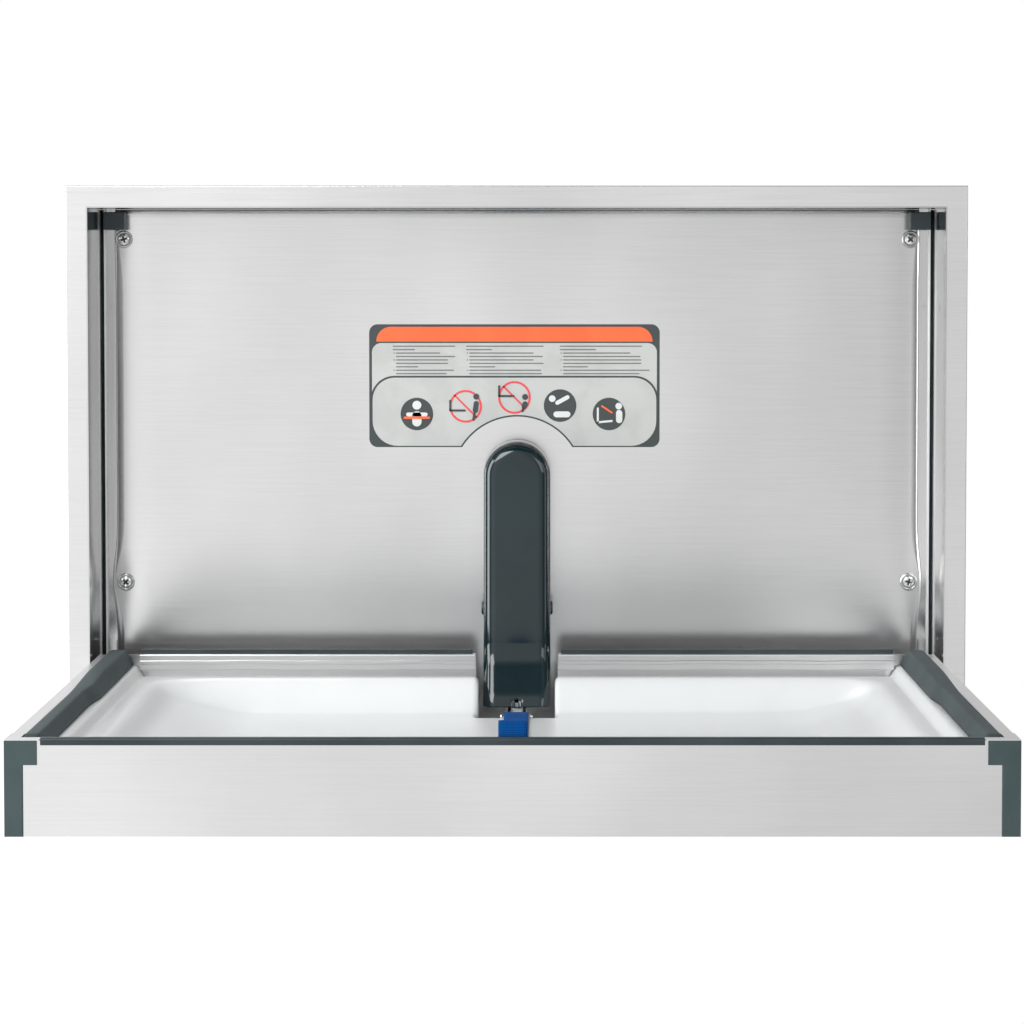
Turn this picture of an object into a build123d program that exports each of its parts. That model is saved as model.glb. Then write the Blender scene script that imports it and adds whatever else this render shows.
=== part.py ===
"""A recessed, wall-mounted baby changing table with a fold-down steel bed.

Frame of the model: +X to the right, +Y into the wall, +Z up, in millimetres.
The origin is the middle of the lower trim strip's back face, on the wall plane.
The bed is modelled folded down, as in use, and swings up about its two hinge pins.
"""
from build123d import *
import math
import os

# ---- driving dimensions -------------------------------------------------------
OPEN_W = 894.0                       # clear width inside the recess box
OPEN_H = 559.0                       # clear height inside the recess box
TRIM_W = 23.0                        # width of the trim strip on the wall
SILL = TRIM_W / 2                    # height of the box floor above the origin
BOX_DEPTH = 101.0                    # wall plane to the box's back sheet
SHEET = 1.5                          # stainless sheet thickness
TRIM_T = 2.0

PANEL_W = 870.0                      # inner back panel, on folded edges
PANEL_Y = 97.0                       # its front face
PANEL_T = 1.2

BED_W = 886.0
BED_FRONT = -506.0
BED_REAR = 40.0
BED_LOW = SILL + 1.5
BED_H = 84.5
RIM = BED_LOW + BED_H                # top of the bed's steel rim
RIM_FLANGE = 12.0
PIVOT_Y = 17.0
PIVOT_Z = SILL + 27.0
HEEL_R = 23.0                        # rounded lower rear edge, clears the box floor

LINER_RIM = SILL + 74.0
LINER_FLOOR = SILL + 34.0
LINER_T = 3.0
WELL_W = 80.0                        # well in the bed around the strut cover
WELL_FRONT = -54.0

COVER_W = 71.0
COVER_LOW = SILL + 36.0
COVER_TOP = SILL + 311.5
COVER_T = 2.5

STRUT_TOP = (66.0, SILL + 272.0)     # Y and Z of the strut's upper pin
STRUT_LOW = (35.0, SILL + 33.0)      # Y and Z of the bed's strut pin, bed down
STRUT_LEN = math.dist(STRUT_TOP, STRUT_LOW)
STRUT_LEAN = math.degrees(math.atan2(STRUT_TOP[0] - STRUT_LOW[0], STRUT_TOP[1] - STRUT_LOW[1]))

SCREW_X = 423.0                      # wall screws, from the middle
SCREW_Z = (SILL + 157.0, SILL + 527.0)
SIDE_HOLE_Z = (SILL + 103.0, SILL + 454.0)
SIDE_HOLE_Y = 40.0
SIDE_HOLE_R = 2.5
RUNNING = 0.05                       # radial clearance of a pin that turns

GUARD_SCREW_Z = (BED_LOW + 17.5, BED_LOW + 54.0)

STRAP_W = 25.4
STRAP_T = 1.6
LOOP_R = 1.3

BOX_W = OPEN_W + 2 * SHEET
BED_X = BED_W / 2
OPEN_X = OPEN_W / 2


# ---- helpers ------------------------------------------------------------------
def block(x0, x1, y0, y1, z0, z1):
    """A box between two corners."""
    return Pos((x0 + x1) / 2, (y0 + y1) / 2, (z0 + z1) / 2) * Box(x1 - x0, y1 - y0, z1 - z0)


def mid_block(half_x, y0, y1, z0, z1):
    return block(-half_x, half_x, y0, y1, z0, z1)


def bar_x(x0, x1, y, z, radius):
    """A round bar along X."""
    return Pos((x0 + x1) / 2, y, z) * Rot(0, 90, 0) * Cylinder(radius, abs(x1 - x0))


def bar_y(y0, y1, x, z, radius):
    """A round bar along Y."""
    return Pos(x, (y0 + y1) / 2, z) * Rot(90, 0, 0) * Cylinder(radius, abs(y1 - y0))


def profile_x(points, x0, x1):
    """A side profile, as (Y, Z) points, extruded along X."""
    face = Plane.YZ.offset(x0) * Polygon(*points, align=None)
    return extrude(face, x1 - x0, dir=(1, 0, 0))


def mirrored(solid):
    """The solid and its twin on the left side."""
    return [solid, mirror(solid, about=Plane.YZ)]


def cross_slot(cutter_long, cutter_wide, depth):
    """A cross recess for a screw head, centred on the origin and sunk along Z."""
    return Box(cutter_long, cutter_wide, depth) + Box(cutter_wide, cutter_long, depth)


def screw(head_r, head_h, shank_r, shank_l):
    """A pan-head screw whose head rises along +Z from the origin, shank down."""
    head = Pos(0, 0, head_h / 2) * Cylinder(head_r, head_h)
    head = fillet(head.edges().group_by(Axis.Z)[-1], head_h * 0.6)
    head -= Pos(0, 0, head_h) * cross_slot(head_r * 1.1, head_r * 0.24, head_h * 0.9)
    return head + Pos(0, 0, -shank_l / 2) * Cylinder(shank_r, shank_l)


# ---- wall frame ---------------------------------------------------------------
def recess_box():
    top = SILL + OPEN_H
    body = mid_block(BOX_W / 2, -TRIM_T, BOX_DEPTH + SHEET, SILL - SHEET, top + SHEET)
    body -= mid_block(OPEN_X, -TRIM_T - 1, BOX_DEPTH, SILL, top)
    for x in (-SCREW_X, SCREW_X):
        for z in SCREW_Z:
            body -= bar_y(BOX_DEPTH - 5, BOX_DEPTH + 5, x, z, 2.5)
    for z in SIDE_HOLE_Z:
        body -= bar_x(-OPEN_X - 5, OPEN_X + 5, SIDE_HOLE_Y, z, SIDE_HOLE_R)
    body -= bar_x(-OPEN_X - 5, OPEN_X + 5, PIVOT_Y, PIVOT_Z, 5.0)
    body -= mid_block(8, 10, 52, SILL - 3, SILL + 1)  # lets the strut's eye pass when the bed is up
    return [body]


def trim_flange():
    """Flat trim on the wall, with its outer front edge rounded."""
    plate = mid_block(OPEN_X + TRIM_W, -TRIM_T, 0, SILL - TRIM_W, SILL + OPEN_H + TRIM_W)
    plate = fillet(plate.edges().group_by(Axis.Y)[0], 1.2)
    plate -= mid_block(BOX_W / 2, -TRIM_T - 1, 1, SILL - SHEET, SILL + OPEN_H + SHEET)
    return [plate]


def back_panel():
    low, high = SILL + 2, SILL + OPEN_H - 2
    half = PANEL_W / 2
    panel = mid_block(half, PANEL_Y, BOX_DEPTH, low, high)
    panel -= mid_block(half - PANEL_T, PANEL_Y + PANEL_T, BOX_DEPTH + 1, low + PANEL_T, high - PANEL_T)
    for x in (-SCREW_X, SCREW_X):
        for z in SCREW_Z:
            panel -= bar_y(PANEL_Y - 1, PANEL_Y + 5, x, z, 2.5)
    return [panel]


def at_panel_screws(solid):
    """Copies of a solid, turned so that its +Z faces out of the wall, at the four screws."""
    turned = Rot(90, 0, 0) * solid
    return [Pos(x, PANEL_Y, z) * turned for x in (-SCREW_X, SCREW_X) for z in SCREW_Z]


def cup_washers():
    washer = Cone(9.5, 7.5, 1.8, align=(Align.CENTER, Align.CENTER, Align.MIN)) - Cylinder(2.5, 10)
    return at_panel_screws(washer)


def wall_screws():
    fixing = Pos(0, 0, 1.8) * screw(5.6, 2.4, 2.1, 35.0)
    fixing += Pos(0, 0, -1.95) * Cylinder(2.4, 7.5)  # plain neck through the panel and the box
    return at_panel_screws(fixing)


def corner_bumpers():
    pad = block(420.5, 443.0, 80.0, PANEL_Y, SILL + 537, SILL + 556)
    pad = fillet(pad.edges().group_by(Axis.Y)[0], 1.5)
    return mirrored(pad)


def information_plate():
    """A thin plate with an arch cut out of its lower edge, above the strut cover."""
    low, high = SILL + 303.0, SILL + 435.5
    outline = Pos(-3, (low + high) / 2) * RectangleRounded(313.0, high - low, 9.0)
    outline -= Pos(0, SILL + 266.0) * Circle(70.0)
    plate = extrude(Plane.XZ * outline, 0.4, dir=(0, -1, 0))
    return [Pos(0, PANEL_Y, 0) * plate]


def cover_shape(inset):
    """The strut cover's solid outline, or its hollow where inset is the wall."""
    side = [
        (PANEL_Y + inset * 2, COVER_LOW - inset * 3),
        (-2 + inset, COVER_LOW - inset * 3),
        (-2 + inset, SILL + 50 + inset * 0.4),
        (30 + inset, SILL + 88 + inset * 0.4),
        (43 + inset, SILL + 294 - inset * 0.6),
        (60 + inset * 0.5, COVER_TOP - inset),
        (PANEL_Y + inset * 2, COVER_TOP - inset),
    ]
    half = COVER_W / 2 - inset
    arch_z = COVER_TOP - COVER_W / 2
    arch = Pos(0, arch_z) * Circle(half)
    arch += Pos(0, (COVER_LOW - 20 + arch_z) / 2) * Rectangle(2 * half, arch_z - COVER_LOW + 20)
    prism = extrude(Plane.XZ.offset(-PANEL_Y - 20) * arch, 160, dir=(0, -1, 0))
    return profile_x(side, -half, half) & prism


def strut_cover():
    shell = cover_shape(0) - cover_shape(COVER_T)
    shell -= bar_x(-COVER_W, COVER_W, 65.0, SILL + 133.0, 2.5)
    shell -= mid_block(2.0, -4.0, 2.0, COVER_LOW - 1, COVER_LOW + 8)
    return [shell]


def cover_screws():
    turned = Rot(0, 90, 0) * screw(7.5, 2.6, 2.4, 14.0)
    return mirrored(Pos(COVER_W / 2, 65.0, SILL + 133.0) * turned)


def strut_bracket():
    """A channel on the back panel that holds the strut's upper pin and the cover."""
    y, z = STRUT_TOP
    base = mid_block(26, PANEL_Y - 3, PANEL_Y, SILL + 120, SILL + 286)
    ears = []
    for low, high in ((z - 14, z + 14), (SILL + 122, SILL + 144)):
        ears += mirrored(block(23, 26, y - 11, PANEL_Y - 3, low, high))
    bracket = base + ears
    bracket -= bar_x(-30, 30, y, z, 4.0)
    bracket -= bar_x(-30, 30, 65.0, SILL + 133.0, 2.4)
    return [bracket]


def strut_pin():
    y, z = STRUT_TOP
    pin = bar_x(-29, 29, y, z, 4.0)
    return [pin + bar_x(-31, -29, y, z, 6.5) + bar_x(29, 31, y, z, 6.5)]


def hinge_pins():
    pin = bar_x(432.5, OPEN_X + SHEET, PIVOT_Y, PIVOT_Z, 5.0)
    head = bar_x(OPEN_X + SHEET, OPEN_X + SHEET + 5, PIVOT_Y, PIVOT_Z, 9.0)
    return mirrored(pin + head)


def retaining_rings():
    ring = bar_x(434.0, 436.5, PIVOT_Y, PIVOT_Z, 8.5) - bar_x(430, 440, PIVOT_Y, PIVOT_Z, 5.0)
    return mirrored(ring)


def rest_pads():
    """Thin rubber pads on the box floor that the open bed rests on."""
    return mirrored(block(300, 360, 2.0, 15.0, SILL, SILL + 1.3))


# ---- bed ----------------------------------------------------------------------
def bed_profile(inset):
    """The bed's side outline with its rounded heel, moved in by the sheet thickness."""
    front, rear = BED_FRONT + inset, BED_REAR - inset
    low, high = BED_LOW + inset, RIM + (2 if inset else 0)
    radius = HEEL_R - inset
    heel = Pos(rear - radius, low + radius) * Circle(radius)
    upper = Pos((front + rear) / 2, (low + radius + high) / 2)
    upper *= Rectangle(rear - front, high - low - radius)
    lower = Pos((front + rear - radius) / 2, low + radius / 2) * Rectangle(rear - radius - front, radius)
    return heel + upper + lower


def bed_hull(inset):
    half = BED_X - inset
    return extrude(Plane.YZ.offset(-half) * bed_profile(inset), 2 * half, dir=(1, 0, 0))


def guard_solid():
    """The right-hand corner guard: a stepped front plate wrapped round to the side."""
    front, side = BED_FRONT - 0.8, BED_X + 0.8
    step = RIM - 21.5
    guard = block(BED_X - 16, side, front, BED_FRONT + 2.5, BED_LOW, RIM)
    guard += block(BED_X - 28, side, front, BED_FRONT + 2.5, step, RIM)
    guard += block(BED_X - 2.5, side, front, BED_FRONT + 34, BED_LOW, RIM)
    return fillet(guard.edges().filter_by(Axis.Z).sort_by(Axis.Y)[0:2].sort_by(Axis.X)[-1], 1.5)


def bed_shell():
    shell = bed_hull(0) - bed_hull(SHEET)
    for flange in mirrored(block(BED_X - RIM_FLANGE, BED_X - SHEET, BED_FRONT + SHEET, BED_REAR - SHEET,
                                 RIM - SHEET, RIM)):
        shell += flange
    shell -= mid_block(WELL_W / 2 + LINER_T + 0.2, 20, BED_REAR + 1, BED_LOW + 5, RIM + 1)
    for guard in mirrored(guard_solid()):
        shell -= guard
    shell -= bar_x(-BED_X - 5, BED_X + 5, PIVOT_Y, PIVOT_Z, 8.0)
    return [shell]


def corner_guards():
    guard = guard_solid()
    for z in GUARD_SCREW_Z:
        guard -= bar_x(BED_X - 5, BED_X + 5, BED_FRONT + 17, z, 1.8)
    return mirrored(guard)


def guard_screws():
    turned = Rot(0, 90, 0) * screw(4.5, 1.5, 1.8, 2.5)
    solids = []
    for z in GUARD_SCREW_Z:
        solids += mirrored(Pos(BED_X + 0.8, BED_FRONT + 17, z) * turned)
    return solids


def rim_corner_caps():
    """Steel caps over the rim's two front corners."""
    cap = block(BED_X - 30, BED_X + 0.5, BED_FRONT - 0.5, BED_FRONT + 12, RIM, RIM + 0.9)
    cap += block(BED_X - 12, BED_X + 0.5, BED_FRONT - 0.5, BED_FRONT + 34, RIM, RIM + 0.9)
    return mirrored(cap)


def side_rails():
    """Dark rails along both sides, between the steel rim and the liner."""
    section = [(411.5, LINER_RIM), (430.7, LINER_RIM), (430.7, RIM + 2), (418.0, RIM + 2), (411.5, RIM - 2)]
    face = Plane.XZ * Polygon(*section, align=None)
    front, rear = BED_FRONT + 12.3, BED_REAR - 3.5
    rail = Pos(0, rear, 0) * extrude(face, rear - front, dir=(0, -1, 0))
    return mirrored(rail)


def bed_liner():
    """A moulded tub with a rim all round and a well for the strut cover."""
    rim = mid_block(BED_X - 5, BED_FRONT + 6, BED_REAR - 4, LINER_RIM - LINER_T, LINER_RIM)
    front, rear = -482.0, 14.0
    tub = mid_block(396 + LINER_T, front - LINER_T, rear + LINER_T, LINER_FLOOR - LINER_T, LINER_RIM)
    tub = fillet(tub.edges().filter_by(Axis.Z), 60)
    hollow = mid_block(396, front, rear, LINER_FLOOR, LINER_RIM + 20)
    hollow = fillet(hollow.edges().filter_by(Axis.Z), 57)
    hollow = fillet(hollow.edges().group_by(Axis.Z)[0], 22)
    half = WELL_W / 2
    low = BED_LOW + 8.5
    well = mid_block(half + LINER_T, WELL_FRONT - LINER_T, BED_REAR - 4, low, LINER_RIM)
    liner = (rim + tub - hollow) + (well - mid_block(396, -100, 60, LINER_FLOOR, LINER_RIM + 1))
    liner += well & (mid_block(half + LINER_T, rear, BED_REAR, low, LINER_RIM))
    liner -= mid_block(half, WELL_FRONT, BED_REAR + 1, BED_LOW + 1, LINER_RIM + 1)
    return [liner]


def front_edge_trim():
    """A rubber channel over the front wall's top edge."""
    half = BED_X - 31
    trim = mid_block(half, BED_FRONT - 1.2, BED_FRONT + 7, RIM - 4, RIM + 2.5)
    trim = fillet(trim.edges().filter_by(Axis.X).group_by(Axis.Z)[-1], 2.5)
    return [trim - mid_block(half + 1, BED_FRONT, BED_FRONT + SHEET, RIM - 5, RIM)]


def rear_trims():
    """Folded steel strips that hold the liner's rear edge, one each side of the well."""
    strip = block(47, 399, BED_REAR - 11.5, BED_REAR, RIM, RIM + 1.5)
    strip += block(47, 399, BED_REAR - 11.5, BED_REAR - 10, LINER_RIM, RIM)
    return mirrored(strip)


def rear_seals():
    return mirrored(block(47, 399, BED_REAR - 5, BED_REAR - 1, RIM + 1.5, RIM + 6))


def strap_route():
    """The strap's centre line as (Y, Z) points, from the well to the front edge."""
    low = LINER_FLOOR + STRAP_T / 2 + 0.3
    over = LINER_FLOOR + 2 * LOOP_R + STRAP_T / 2 + 0.5
    return [
        (WELL_FRONT + 5, BED_LOW + 12),
        (WELL_FRONT + 5, over),
        (WELL_FRONT - 11, over),
        (-96, low),
        (-280, low),
        (-464, RIM + 10),
        (-484, RIM + 14),
        (-494, RIM + 4),
        (-495.5, LINER_RIM + 3),
    ]


def safety_strap():
    line = FilletPolyline(*strap_route(), radius=[3, 12, 40, 60, 12, 7, 8])
    band = Plane.YZ.offset(-STRAP_W / 2) * trace(line, STRAP_T)
    return [extrude(band, STRAP_W, dir=(1, 0, 0))]


def strap_loop():
    """A bar on the liner that the strap passes over, with a rounded foot at each end."""
    y, z = WELL_FRONT - 5, LINER_FLOOR + LOOP_R
    loop = bar_x(-15, 15, y, z, LOOP_R)
    for x in (-15, 15):
        loop += Pos(x, y, z + 0.3) * Sphere(LOOP_R + 0.6)
    return [loop - mid_block(20, y - 5, y + 5, LINER_FLOOR - 5, LINER_FLOOR)]


def strap_anchor():
    """A folded plate on the bed's floor that the strap's end is riveted to."""
    base = mid_block(15, WELL_FRONT + 6, WELL_FRONT + 22, BED_LOW + SHEET, BED_LOW + SHEET + 1.5)
    return [base + mid_block(15, WELL_FRONT + 5.8, WELL_FRONT + 7.3, BED_LOW + SHEET, BED_LOW + 22)]


def hinge_plates():
    plate = block(BED_X - SHEET - 3, BED_X - SHEET, -30, 34, SILL + 12, LINER_RIM - 6)
    return mirrored(plate - bar_x(BED_X - 10, BED_X + 5, PIVOT_Y, PIVOT_Z, 8.0))


def hinge_bushes():
    bush = bar_x(BED_X - 5, BED_X, PIVOT_Y, PIVOT_Z, 8.0)
    bush += bar_x(BED_X, BED_X + 2.5, PIVOT_Y, PIVOT_Z, 12.0)
    return mirrored(bush - bar_x(BED_X - 10, BED_X + 5, PIVOT_Y, PIVOT_Z, 5.0 + RUNNING))


def bed_stiffeners():
    """Hat-section channels between the steel floor and the liner."""
    height = LINER_FLOOR - LINER_T - BED_LOW - SHEET
    channels = []
    for x in (130.0, 310.0):
        low = BED_LOW + SHEET
        hat = block(x - 25, x + 25, -475, -5, low, low + height)
        hat -= block(x - 23.5, x + 23.5, -476, -4, low - 1, low + height - 1.5)
        for edge in (x - 37, x + 25):
            hat += block(edge, edge + 12, -475, -5, low, low + 1.5)
        channels += mirrored(hat)
    return channels


def bed_bracket():
    """Ears on the bed's floor that carry the strut's lower pin."""
    y, z = STRUT_LOW
    floor = BED_LOW + SHEET
    base = mid_block(20, -20, 15, floor, floor + 2)
    outline = [(10, floor), (22, floor + 2), (y + 5.5, z - 3), (y - 6, z + 1), (10, floor + 14)]
    ear = profile_x(outline, 6.5, 9.5) + bar_x(6.5, 9.5, y, z, 6.2)
    bracket = base + mirrored(ear)
    return [bracket - bar_x(-12, 12, y, z, 3.0)]


def bracket_pin():
    y, z = STRUT_LOW
    return [bar_x(-11, 11, y, z, 3.0)]


# ---- gas strut ----------------------------------------------------------------
def along_strut(solid):
    """Places a solid made hanging down from the origin onto the strut's axis."""
    return Pos(0, *STRUT_TOP) * Rot(-STRUT_LEAN, 0, 0) * solid


def hanging(radius, top, low):
    return Pos(0, 0, -(top + low) / 2) * Cylinder(radius, low - top)


def strut_cylinder():
    tube = hanging(7.5, 14, 160) - hanging(5.6, 18, 154) - hanging(3.0 + RUNNING, 150, 165)
    neck = hanging(5.0, 6, 16)
    eye = bar_x(-9, 9, 0, 0, 8.0)
    return [along_strut((tube + neck + eye) - bar_x(-12, 12, 0, 0, 4.0 + RUNNING))]


def strut_rod():
    """Piston and rod, ending in a slotted eye round the bed's strut pin."""
    rod = hanging(3.0, 100, STRUT_LEN - 6) + hanging(5.5, 96, 104)
    eye = Pos(0, 0, -STRUT_LEN) * Box(9, 21, 15.6)
    eye = fillet(eye.edges().filter_by(Axis.X), 6)
    slot = Pos(0, 0, -STRUT_LEN) * Box(12, 14.8, 9.6)
    slot = fillet(slot.edges().filter_by(Axis.X), 4)
    return [along_strut((rod + eye) - slot)]


SUBPARTS = [
    recess_box, trim_flange, back_panel, cup_washers, wall_screws, corner_bumpers, information_plate,
    strut_cover, cover_screws, strut_bracket, strut_pin, hinge_pins, retaining_rings, rest_pads,
    bed_shell, corner_guards, guard_screws, rim_corner_caps, side_rails, bed_liner, front_edge_trim,
    rear_trims, rear_seals, safety_strap, strap_loop, strap_anchor, hinge_plates, hinge_bushes,
    bed_stiffeners, bed_bracket, bracket_pin, strut_cylinder, strut_rod,
]


def main():
    os.makedirs("parts", exist_ok=True)
    for make in SUBPARTS:
        solids = []
        for shape in make():
            solids += shape.solids()
        export_step(Compound(children=solids), f"parts/{make.__name__}.step")


main()
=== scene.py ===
"""Visual model of a recessed fold-down changing table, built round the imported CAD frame."""
import math

import bmesh
import bpy
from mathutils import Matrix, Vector


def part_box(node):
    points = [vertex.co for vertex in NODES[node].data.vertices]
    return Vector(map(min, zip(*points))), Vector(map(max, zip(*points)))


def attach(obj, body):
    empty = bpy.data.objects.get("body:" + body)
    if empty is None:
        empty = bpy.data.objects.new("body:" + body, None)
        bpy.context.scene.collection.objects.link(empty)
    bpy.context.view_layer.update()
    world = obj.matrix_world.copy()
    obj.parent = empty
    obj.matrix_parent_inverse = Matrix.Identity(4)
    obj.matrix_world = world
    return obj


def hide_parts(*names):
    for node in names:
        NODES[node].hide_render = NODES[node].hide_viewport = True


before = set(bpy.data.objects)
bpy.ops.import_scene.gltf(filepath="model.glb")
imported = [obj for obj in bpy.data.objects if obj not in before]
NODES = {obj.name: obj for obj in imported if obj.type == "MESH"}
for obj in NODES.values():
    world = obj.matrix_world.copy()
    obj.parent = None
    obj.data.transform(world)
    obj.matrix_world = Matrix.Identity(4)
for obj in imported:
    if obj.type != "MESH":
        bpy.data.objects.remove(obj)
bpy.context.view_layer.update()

# ---- places, read from the frame, and a few set sizes ---------------------------
box_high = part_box("recess_box")[1]
trim_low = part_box("trim_flange")[0]
panel_low, panel_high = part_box("back_panel")
bed_low, bed_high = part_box("bed_shell")
cover_low, cover_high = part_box("strut_cover")
liner_low, liner_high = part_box("bed_liner")
rail_low, rail_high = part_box("side_rails")
plate_low, plate_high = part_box("information_plate")
loop_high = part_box("strap_loop")[1]
washer_low, washer_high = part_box("cup_washers")
BOX_SHEET = 0.0015
WASHER_RADIUS = 0.0095
STRAP_GAP = 0.0011


# ---- small mesh tools -----------------------------------------------------------
def smooth_step(value):
    value = min(max(value, 0.0), 1.0)
    return value * value * (3 - 2 * value)


def between(start, stop, count):
    return [start + (stop - start) * i / (count - 1) for i in range(count)]


def piece(name, verts, faces, material, body, smooth=True, replaces=()):
    """A mesh object that rides on a body and takes the material it is given."""
    mesh = bpy.data.meshes.new(name)
    mesh.from_pydata(verts, [], faces)
    mesh.validate()
    obj = bpy.data.objects.new(name, mesh)
    bpy.context.scene.collection.objects.link(obj)
    outward(obj)
    for polygon in mesh.polygons:
        polygon.use_smooth = smooth
    mesh.materials.append(material)
    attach(obj, body)
    if replaces:
        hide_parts(*replaces)
    return obj


def outward(obj):
    work = bmesh.new()
    work.from_mesh(obj.data)
    bmesh.ops.recalc_face_normals(work, faces=work.faces)
    work.to_mesh(obj.data)
    work.free()


def thicken(obj, thickness, offset=-1.0):
    solid = obj.modifiers.new("thickness", "SOLIDIFY")
    solid.thickness = thickness
    solid.offset = offset
    solid.use_even_offset = True
    return obj


def grid_faces(rows, columns, keep=lambda row, column: True):
    faces = []
    for row in range(rows - 1):
        for column in range(columns - 1):
            if keep(row, column):
                a = row * columns + column
                faces.append((a, a + 1, a + columns + 1, a + columns))
    return faces


def ring_faces(rings, sides, closed_first=False, closed_last=False, base=0):
    """Faces that join rings of points one after another, with a cap at either end."""
    faces = []
    for ring in range(rings - 1):
        near, far = base + ring * sides, base + (ring + 1) * sides
        for i in range(sides):
            j = (i + 1) % sides
            faces.append((near + i, near + j, far + j, far + i))
    if closed_first:
        faces.append(tuple(range(base, base + sides)))
    if closed_last:
        faces.append(tuple(range(base + (rings - 1) * sides, base + rings * sides)))
    return faces


def plates(name, outlines, front, thickness, material):
    """Thin flat shapes on the back panel, each an (X, Z) outline, facing the room."""
    verts, faces = [], []
    for outline in outlines:
        base, count = len(verts), len(outline)
        verts += [(x, front, z) for x, z in outline]
        verts += [(x, front + thickness, z) for x, z in outline]
        faces.append(tuple(range(base, base + count)))
        faces.append(tuple(range(base + 2 * count - 1, base + count - 1, -1)))
        for i in range(count):
            j = (i + 1) % count
            faces.append((base + i, base + j, base + count + j, base + count + i))
    return piece(name, verts, faces, material, "wall_frame", smooth=False)


def arc(x, z, radius, start, stop, count=10):
    """Points on an arc, angles in degrees from +X towards +Z."""
    return [(x + radius * math.cos(math.radians(a)), z + radius * math.sin(math.radians(a)))
            for a in between(start, stop, count)]


def disc(x, z, radius):
    return arc(x, z, radius, 0, 348, 30)


def capsule(x0, z0, x1, z1, radius):
    """A bar with round ends."""
    lean = math.degrees(math.atan2(z1 - z0, x1 - x0))
    return arc(x0, z0, radius, lean + 90, lean + 270) + arc(x1, z1, radius, lean - 90, lean + 90)


def rounded(x0, x1, z0, z1, top, bottom):
    """A rectangle with one radius for its top corners and one for the bottom ones."""
    outline = arc(x0 + bottom, z0 + bottom, bottom, 180, 270)
    outline += arc(x1 - bottom, z0 + bottom, bottom, 270, 360)
    return outline + arc(x1 - top, z1 - top, top, 0, 90) + arc(x0 + top, z1 - top, top, 90, 180)


# ---- materials ------------------------------------------------------------------
class Surface:
    """A Principled material with a few procedural helpers."""

    def __init__(self, name, metallic=0.0):
        self.material = bpy.data.materials.new(name)
        self.material.use_nodes = True
        self.nodes = self.material.node_tree.nodes
        self.links = self.material.node_tree.links
        self.shader = self.nodes["Principled BSDF"]
        self.shader.inputs["Metallic"].default_value = metallic
        self.place = self.nodes.new("ShaderNodeTexCoord").outputs["Object"]
        self.height = None

    def set(self, **values):
        for socket, value in values.items():
            self.shader.inputs[socket.replace("_", " ")].default_value = value
        return self

    def noise(self, scale, stretch=(1, 1, 1), detail=3.0, roughness=0.5, source=None):
        mapping = self.nodes.new("ShaderNodeMapping")
        mapping.inputs["Scale"].default_value = stretch
        self.links.new(source or self.place, mapping.inputs["Vector"])
        noise = self.nodes.new("ShaderNodeTexNoise")
        noise.inputs["Scale"].default_value = scale
        noise.inputs["Detail"].default_value = detail
        noise.inputs["Roughness"].default_value = roughness
        self.links.new(mapping.outputs["Vector"], noise.inputs["Vector"])
        return noise.outputs["Fac"]

    def ramp(self, source, stops):
        """Colours from a value; stops are (place, colour)."""
        node = self.nodes.new("ShaderNodeValToRGB")
        node.color_ramp.interpolation = "EASE"
        elements = node.color_ramp.elements
        while len(elements) < len(stops):
            elements.new(0.5)
        for element, (place, colour) in zip(elements, stops):
            element.position = place
            element.color = (*colour, 1.0)
        self.links.new(source, node.inputs["Fac"])
        return node.outputs["Color"]

    def multiply(self, first, second, amount=1.0):
        node = self.nodes.new("ShaderNodeMix")
        node.data_type = "RGBA"
        node.blend_type = "MULTIPLY"
        node.inputs["Factor"].default_value = amount
        self.links.new(first, node.inputs["A"])
        self.links.new(second, node.inputs["B"])
        return node.outputs["Result"]

    def colour(self, source):
        self.links.new(source, self.shader.inputs["Base Color"])
        return self

    def roughness(self, source, low, high):
        node = self.nodes.new("ShaderNodeMapRange")
        node.inputs["To Min"].default_value = low
        node.inputs["To Max"].default_value = high
        self.links.new(source, node.inputs["Value"])
        self.links.new(node.outputs["Result"], self.shader.inputs["Roughness"])
        return self

    def bump(self, source, strength, distance=0.001):
        node = self.nodes.new("ShaderNodeBump")
        node.inputs["Strength"].default_value = strength
        node.inputs["Distance"].default_value = distance
        self.links.new(source, node.inputs["Height"])
        if self.height:
            self.links.new(self.height, node.inputs["Normal"])
        self.height = node.outputs["Normal"]
        self.links.new(self.height, self.shader.inputs["Normal"])
        return self


def grey(level):
    return (level, level, level)


def brushed_steel(name, grain, dark, light, smooth=0.24, dull=0.36):
    """Stainless sheet with a brushed grain; grain is the stretch of its texture."""
    steel = Surface(name, metallic=1.0)
    fine = steel.noise(620.0, grain, detail=4.0, roughness=0.6)
    broad = steel.noise(3.2, (1.0, 1.0, 0.7), detail=2.0)
    smudge = steel.noise(11.0, detail=3.0, roughness=0.55)
    tone = steel.ramp(broad, [(0.30, grey(dark)), (0.70, grey(light))])
    streak = steel.ramp(fine, [(0.30, grey(0.965)), (0.62, grey(1.0))])
    mark = steel.ramp(smudge, [(0.35, grey(0.985)), (0.60, grey(1.0))])
    steel.colour(steel.multiply(steel.multiply(tone, streak), mark))
    steel.roughness(fine, smooth, dull)
    steel.bump(fine, 0.05, 0.0002)
    return steel.material


def polished_steel():
    steel = Surface("polished steel", metallic=1.0)
    wear = steel.noise(420.0, detail=4.0)
    steel.colour(steel.ramp(wear, [(0.3, grey(0.74)), (0.7, grey(0.86))]))
    steel.roughness(wear, 0.08, 0.20)
    steel.bump(wear, 0.04, 0.0002)
    return steel.material


def zinc_steel():
    zinc = Surface("zinc plated steel", metallic=1.0)
    spangle = zinc.noise(90.0, detail=5.0, roughness=0.6)
    zinc.colour(zinc.ramp(spangle, [(0.3, (0.42, 0.43, 0.45)), (0.7, (0.60, 0.61, 0.63))]))
    zinc.roughness(spangle, 0.30, 0.52)
    zinc.bump(spangle, 0.08, 0.0003)
    return zinc.material


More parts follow.
